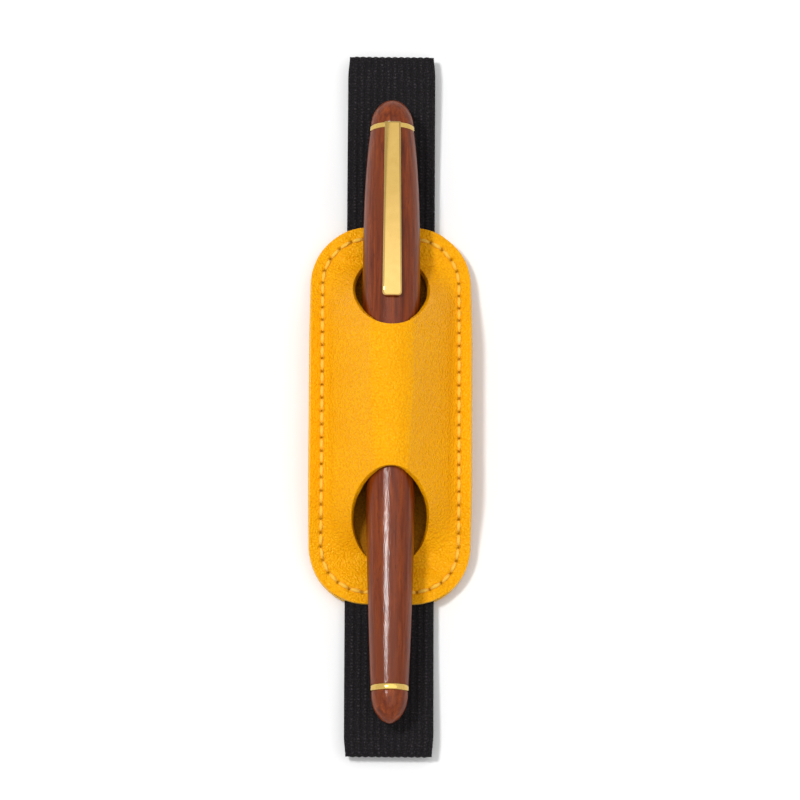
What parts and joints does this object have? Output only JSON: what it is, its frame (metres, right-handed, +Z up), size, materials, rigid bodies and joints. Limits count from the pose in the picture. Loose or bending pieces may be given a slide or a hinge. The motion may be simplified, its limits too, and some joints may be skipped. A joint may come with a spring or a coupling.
{
  "type": "fountain pen case",
  "caption": "Slip-on leather pen sleeve on an elastic loop, with a wooden fountain pen threaded under its arched middle strip.",
  "frame": {"origin": "middle of the elastic loop, on the surface that it lies on", "axes": "+X across the sleeve, +Y along the pen towards its cap, +Z up from the surface"},
  "size_m": [0.0362, 0.1626, 0.0203],
  "materials": {
    "leather": "fine grain, satin",
    "thread": "twisted polyester",
    "elastic": "ribbed knit",
    "wood": "lacquered, gloss",
    "gold": "gold plated, polished",
    "brass": "machined",
    "liner": "moulded",
    "resin": "polished",
    "clear": "clear",
    "chrome": "plated",
    "seal": "moulded",
    "rod": "machined"
  },
  "bodies": {
    "case": {"front_panel": "leather", "back_panel": "leather", "front_stitches": "thread", "back_stitches": "thread", "elastic_band": "elastic"},
    "pen": {"grip_section": "resin", "section_collar": "gold", "nib": "gold", "feed": "liner", "converter_tube": "clear", "converter_collar": "chrome"},
    "cap": {"cap_shell": "wood", "cap_lip_band": "gold", "cap_liner": "liner", "cap_ring": "gold", "cap_finial": "wood", "cap_stud": "brass"},
    "clip": {"clip": "gold"},
    "barrel": {"barrel_shell": "wood", "barrel_bush": "brass", "tail_ring": "gold", "tail_finial": "wood", "tail_stud": "brass"},
    "knob": {"converter_knob": "resin"},
    "piston": {"piston_seal": "seal", "piston_rod": "rod"}
  },
  "joints": [
    {"name": "pen_slide", "type": "slide", "parent": "case", "child": "pen", "axis": [0, 1, 0], "range_m": [0, 0.12]},
    {"name": "cap_pull", "type": "slide", "parent": "pen", "child": "cap", "axis": [0, 1, 0], "range_m": [0, 0.055]},
    {"name": "barrel_draw", "type": "slide", "parent": "pen", "child": "barrel", "axis": [0, -1, 0], "range_m": [0, 0.065]},
    {"name": "clip_lift", "type": "hinge", "parent": "cap", "child": "clip", "pos_m": [0, 0.0615, 0.01727], "axis": [-1, 0, 0], "range_deg": [0, 4], "stiffness_Nm_per_rad": 0.5},
    {"name": "knob_turn", "type": "hinge", "parent": "pen", "child": "knob", "pos_m": [0, -0.0432, 0.01205], "axis": [0, 1, 0], "range_deg": [0, 1080]},
    {"name": "piston_draw", "type": "slide", "parent": "pen", "child": "piston", "axis": [0, -1, 0], "range_m": [0, 0.0135]}
  ],
  "couplings": [
    {"joint": "knob_turn", "follows": "piston_draw", "rad_per_m": 1396.2}
  ]
}
